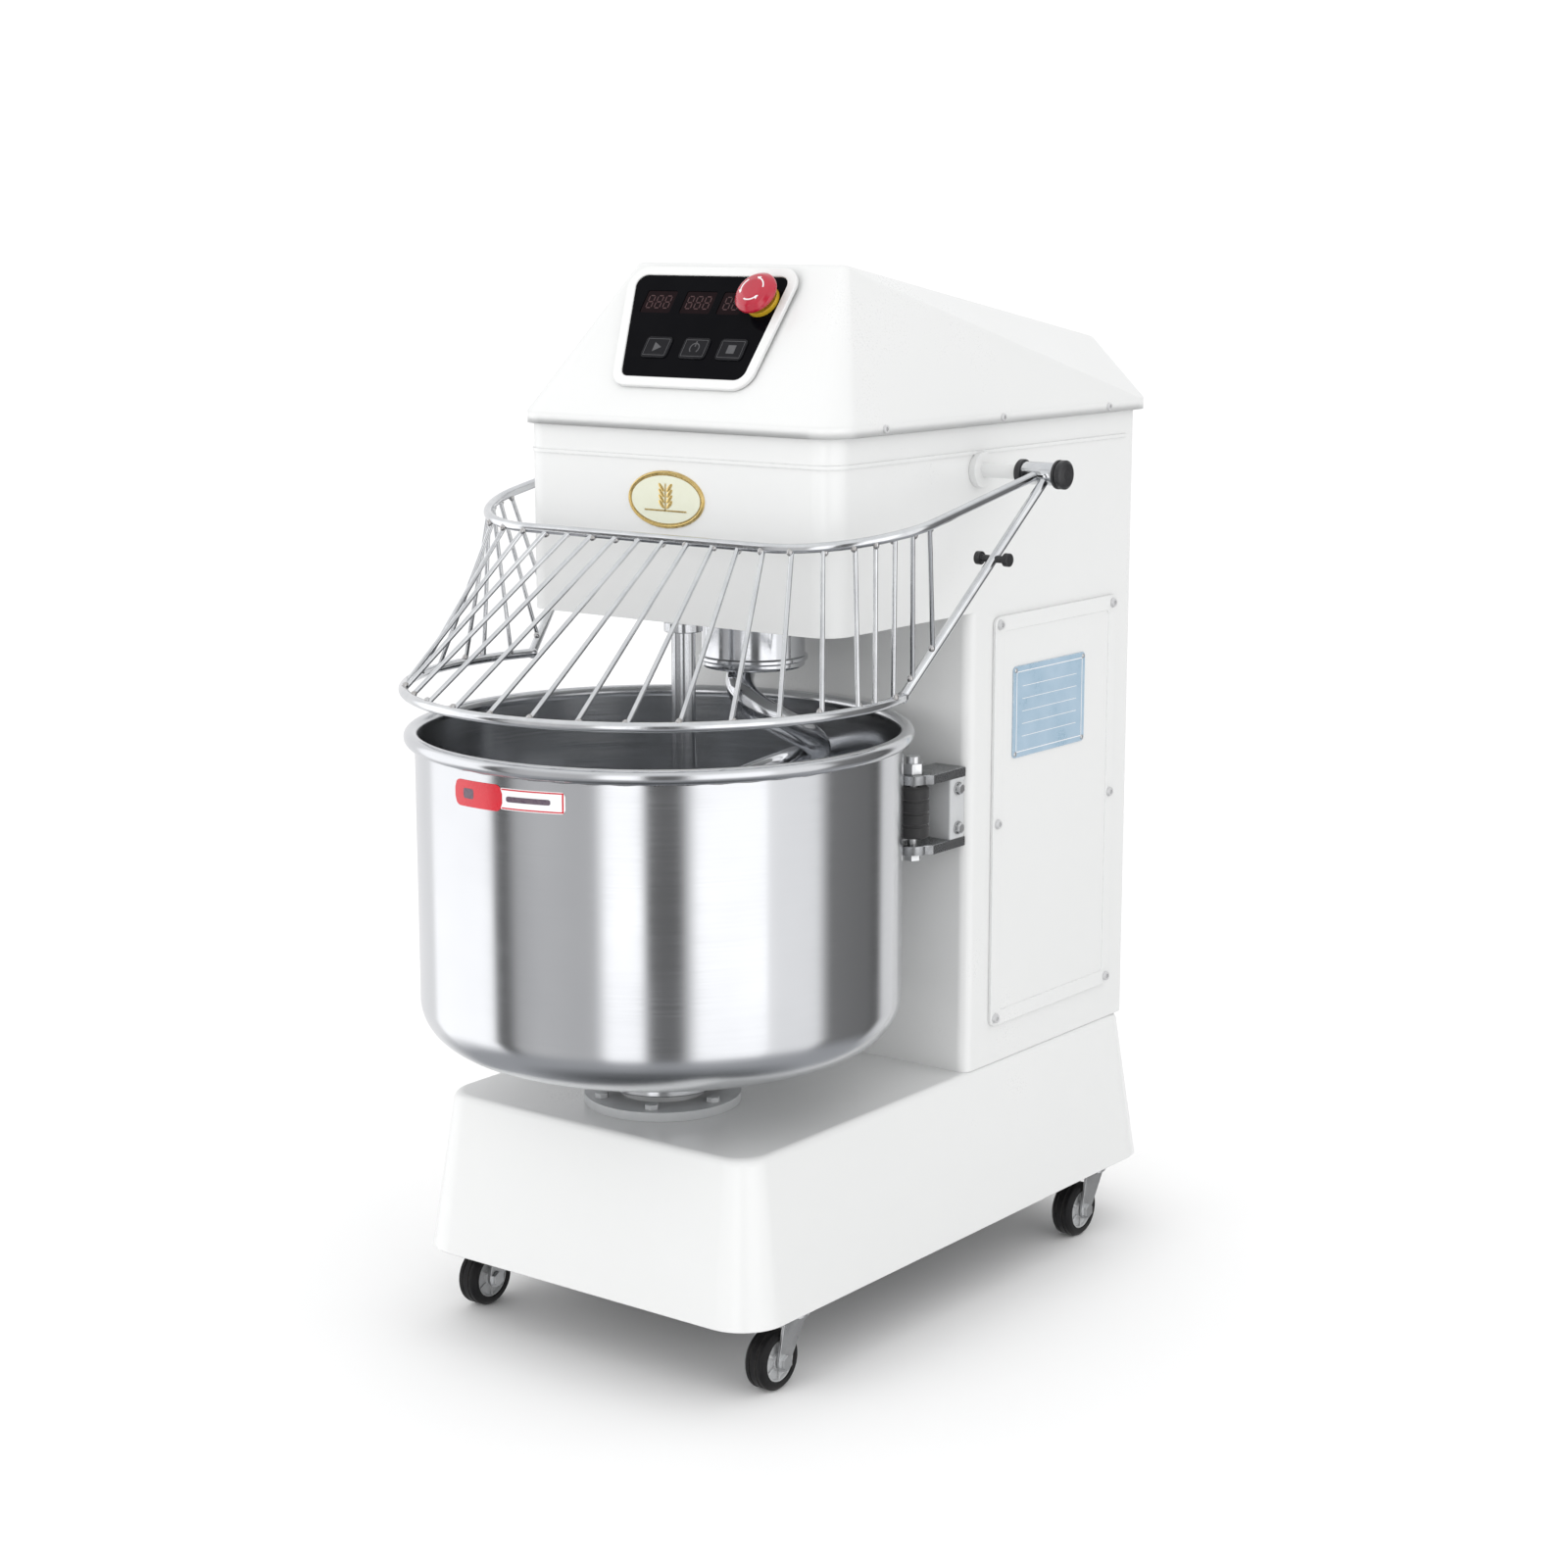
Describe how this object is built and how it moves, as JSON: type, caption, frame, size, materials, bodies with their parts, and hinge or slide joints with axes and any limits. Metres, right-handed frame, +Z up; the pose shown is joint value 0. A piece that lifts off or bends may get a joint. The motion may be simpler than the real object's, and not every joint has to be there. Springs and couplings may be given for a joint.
{
  "type": "spiral dough mixer",
  "caption": "Floor-standing spiral dough mixer with a turning steel bowl, spiral hook, breaker bar, hinged wire guard and sloping control panel, on casters.",
  "frame": {"origin": "on the floor, under the middle of the whole machine", "axes": "+Z up, +X to the right seen from the front, +Y to the back"},
  "size_m": [0.498, 0.712, 0.8899],
  "materials": {
    "white_paint": "satin white powder coat",
    "bezel_plastic": "satin white",
    "label": "satin printed plate",
    "frame_paint": "matt dark grey",
    "housing_paint": "satin light grey",
    "zinc_steel": "zinc plated",
    "panel_glass": "gloss black",
    "display": "smoked red window",
    "board": "matt green",
    "key_plastic": "satin black",
    "collar_plastic": "satin yellow",
    "red_plastic": "gloss red",
    "gold": "satin gold",
    "stainless": "fine circular brush",
    "shaft_steel": "ground",
    "hook_steel": "polished",
    "cast_iron": "turned",
    "guard_steel": "bright drawn wire",
    "black_plastic": "satin black",
    "rubber": "matt black",
    "tyre": "matt black",
    "motor_paint": "satin blue grey"
  },
  "bodies": {
    "machine": {"base_shell": "white_paint", "chassis_frame": "frame_paint", "body_shell": "white_paint", "side_panel": "white_paint", "rating_plate": "label", "rear_cover": "white_paint", "cover_screws": "zinc_steel", "head_cover": "white_paint", "panel_bezel": "bezel_plastic", "control_panel": "panel_glass", "display_windows": "display", "control_board": "board", "estop_collar": "collar_plastic", "badge": "gold", "bowl_bearing_housing": "housing_paint", "bowl_bearings": "shaft_steel", "hook_bearing_housing": "housing_paint", "hook_bearings": "shaft_steel", "breaker_bar": "stainless", "breaker_bar_nut": "zinc_steel", "guard_pivot_pins": "white_paint", "guard_knobs": "black_plastic", "roller_brackets": "housing_paint", "roller_pins": "zinc_steel", "motor": "motor_paint", "motor_plate": "frame_paint", "drive_bearings": "shaft_steel", "drive_belts": "rubber", "electrical_box": "housing_paint", "cable_gland": "black_plastic", "caster_plates": "zinc_steel"},
    "bowl_group": {"bowl": "stainless", "bowl_rim": "stainless", "bowl_hub": "stainless", "bowl_shaft": "shaft_steel", "bowl_pulley": "cast_iron"},
    "hook_group": {"spiral_hook": "hook_steel", "hook_shaft": "hook_steel", "hook_pulley": "cast_iron"},
    "guard": {"guard_rail": "guard_steel", "guard_ring": "guard_steel", "guard_wires": "guard_steel", "guard_stop_pins": "black_plastic"},
    "rotor": {"motor_pulley": "cast_iron"},
    "layshaft": {"layshaft": "cast_iron"},
    "countershaft": {"countershaft": "cast_iron"},
    "roller_left": {"roller_left": "rubber"},
    "roller_right": {"roller_right": "rubber"},
    "key_left": {"key_left": "key_plastic"},
    "key_middle": {"key_middle": "key_plastic"},
    "key_right": {"key_right": "key_plastic"},
    "estop": {"estop_button": "red_plastic"},
    "fork_front_left": {"fork_front_left": "zinc_steel"},
    "wheel_front_left": {"wheel_front_left": "tyre"},
    "fork_front_right": {"fork_front_right": "zinc_steel"},
    "wheel_front_right": {"wheel_front_right": "tyre"},
    "fork_rear_left": {"fork_rear_left": "zinc_steel"},
    "wheel_rear_left": {"wheel_rear_left": "tyre"},
    "fork_rear_right": {"fork_rear_right": "zinc_steel"},
    "wheel_rear_right": {"wheel_rear_right": "tyre"}
  },
  "joints": [
    {"name": "bowl_spin", "type": "hinge", "parent": "machine", "child": "bowl_group", "pos_m": [0, -0.144, 0.254], "axis": [0, 0, 1], "continuous": true},
    {"name": "hook_spin", "type": "hinge", "parent": "machine", "child": "hook_group", "pos_m": [0, -0.019, 0.6], "axis": [0, 0, 1], "continuous": true},
    {"name": "layshaft_spin", "type": "hinge", "parent": "machine", "child": "layshaft", "pos_m": [-0.05, 0.126, 0.4], "axis": [0, 0, 1], "continuous": true},
    {"name": "countershaft_spin", "type": "hinge", "parent": "machine", "child": "countershaft", "pos_m": [0.06, 0.006, 0.14], "axis": [0, 0, 1], "continuous": true},
    {"name": "motor_spin", "type": "hinge", "parent": "machine", "child": "rotor", "pos_m": [0.06, 0.241, 0.7], "axis": [0, 0, 1], "continuous": true},
    {"name": "roller_left_spin", "type": "hinge", "parent": "machine", "child": "roller_left", "pos_m": [-0.14059, 0.01773, 0.437], "axis": [0, 0, 1], "continuous": true},
    {"name": "roller_right_spin", "type": "hinge", "parent": "machine", "child": "roller_right", "pos_m": [0.14059, 0.01773, 0.437], "axis": [0, 0, 1], "continuous": true},
    {"name": "guard_tilt", "type": "hinge", "parent": "machine", "child": "guard", "pos_m": [0, 0.079, 0.721], "axis": [-1, 0, 0], "range_deg": [0, 75]},
    {"name": "key_left_press", "type": "slide", "parent": "machine", "child": "key_left", "axis": [0, 0.8079, -0.5894], "range_m": [0, 0.0008], "stiffness_N_per_m": 500},
    {"name": "key_middle_press", "type": "slide", "parent": "machine", "child": "key_middle", "axis": [0, 0.8079, -0.5894], "range_m": [0, 0.0008], "stiffness_N_per_m": 500},
    {"name": "key_right_press", "type": "slide", "parent": "machine", "child": "key_right", "axis": [0, 0.8079, -0.5894], "range_m": [0, 0.0008], "stiffness_N_per_m": 500},
    {"name": "estop_press", "type": "slide", "parent": "machine", "child": "estop", "axis": [0, 0.8079, -0.5894], "range_m": [0, 0.004], "stiffness_N_per_m": 1200},
    {"name": "swivel_front_left", "type": "hinge", "parent": "machine", "child": "fork_front_left", "pos_m": [-0.157, -0.174, 0.06], "axis": [0, 0, 1], "continuous": true},
    {"name": "roll_front_left", "type": "hinge", "parent": "fork_front_left", "child": "wheel_front_left", "pos_m": [-0.157, -0.199, 0.025], "axis": [1, 0, 0], "continuous": true},
    {"name": "swivel_front_right", "type": "hinge", "parent": "machine", "child": "fork_front_right", "pos_m": [0.157, -0.174, 0.06], "axis": [0, 0, 1], "continuous": true},
    {"name": "roll_front_right", "type": "hinge", "parent": "fork_front_right", "child": "wheel_front_right", "pos_m": [0.157, -0.199, 0.025], "axis": [1, 0, 0], "continuous": true},
    {"name": "swivel_rear_left", "type": "hinge", "parent": "machine", "child": "fork_rear_left", "pos_m": [-0.157, 0.286, 0.06], "axis": [0, 0, 1], "continuous": true},
    {"name": "roll_rear_left", "type": "hinge", "parent": "fork_rear_left", "child": "wheel_rear_left", "pos_m": [-0.157, 0.261, 0.025], "axis": [1, 0, 0], "continuous": true},
    {"name": "swivel_rear_right", "type": "hinge", "parent": "machine", "child": "fork_rear_right", "pos_m": [0.157, 0.286, 0.06], "axis": [0, 0, 1], "continuous": true},
    {"name": "roll_rear_right", "type": "hinge", "parent": "fork_rear_right", "child": "wheel_rear_right", "pos_m": [0.157, 0.261, 0.025], "axis": [1, 0, 0], "continuous": true}
  ],
  "couplings": [
    {"joint": "countershaft_spin", "follows": "bowl_spin", "ratio": 4.4},
    {"joint": "layshaft_spin", "follows": "bowl_spin", "ratio": 16},
    {"joint": "hook_spin", "follows": "bowl_spin", "ratio": 5.3333},
    {"joint": "motor_spin", "follows": "bowl_spin", "ratio": 45.333},
    {"joint": "roller_left_spin", "follows": "bowl_spin", "ratio": -14.286},
    {"joint": "roller_right_spin", "follows": "bowl_spin", "ratio": -14.286}
  ]
}
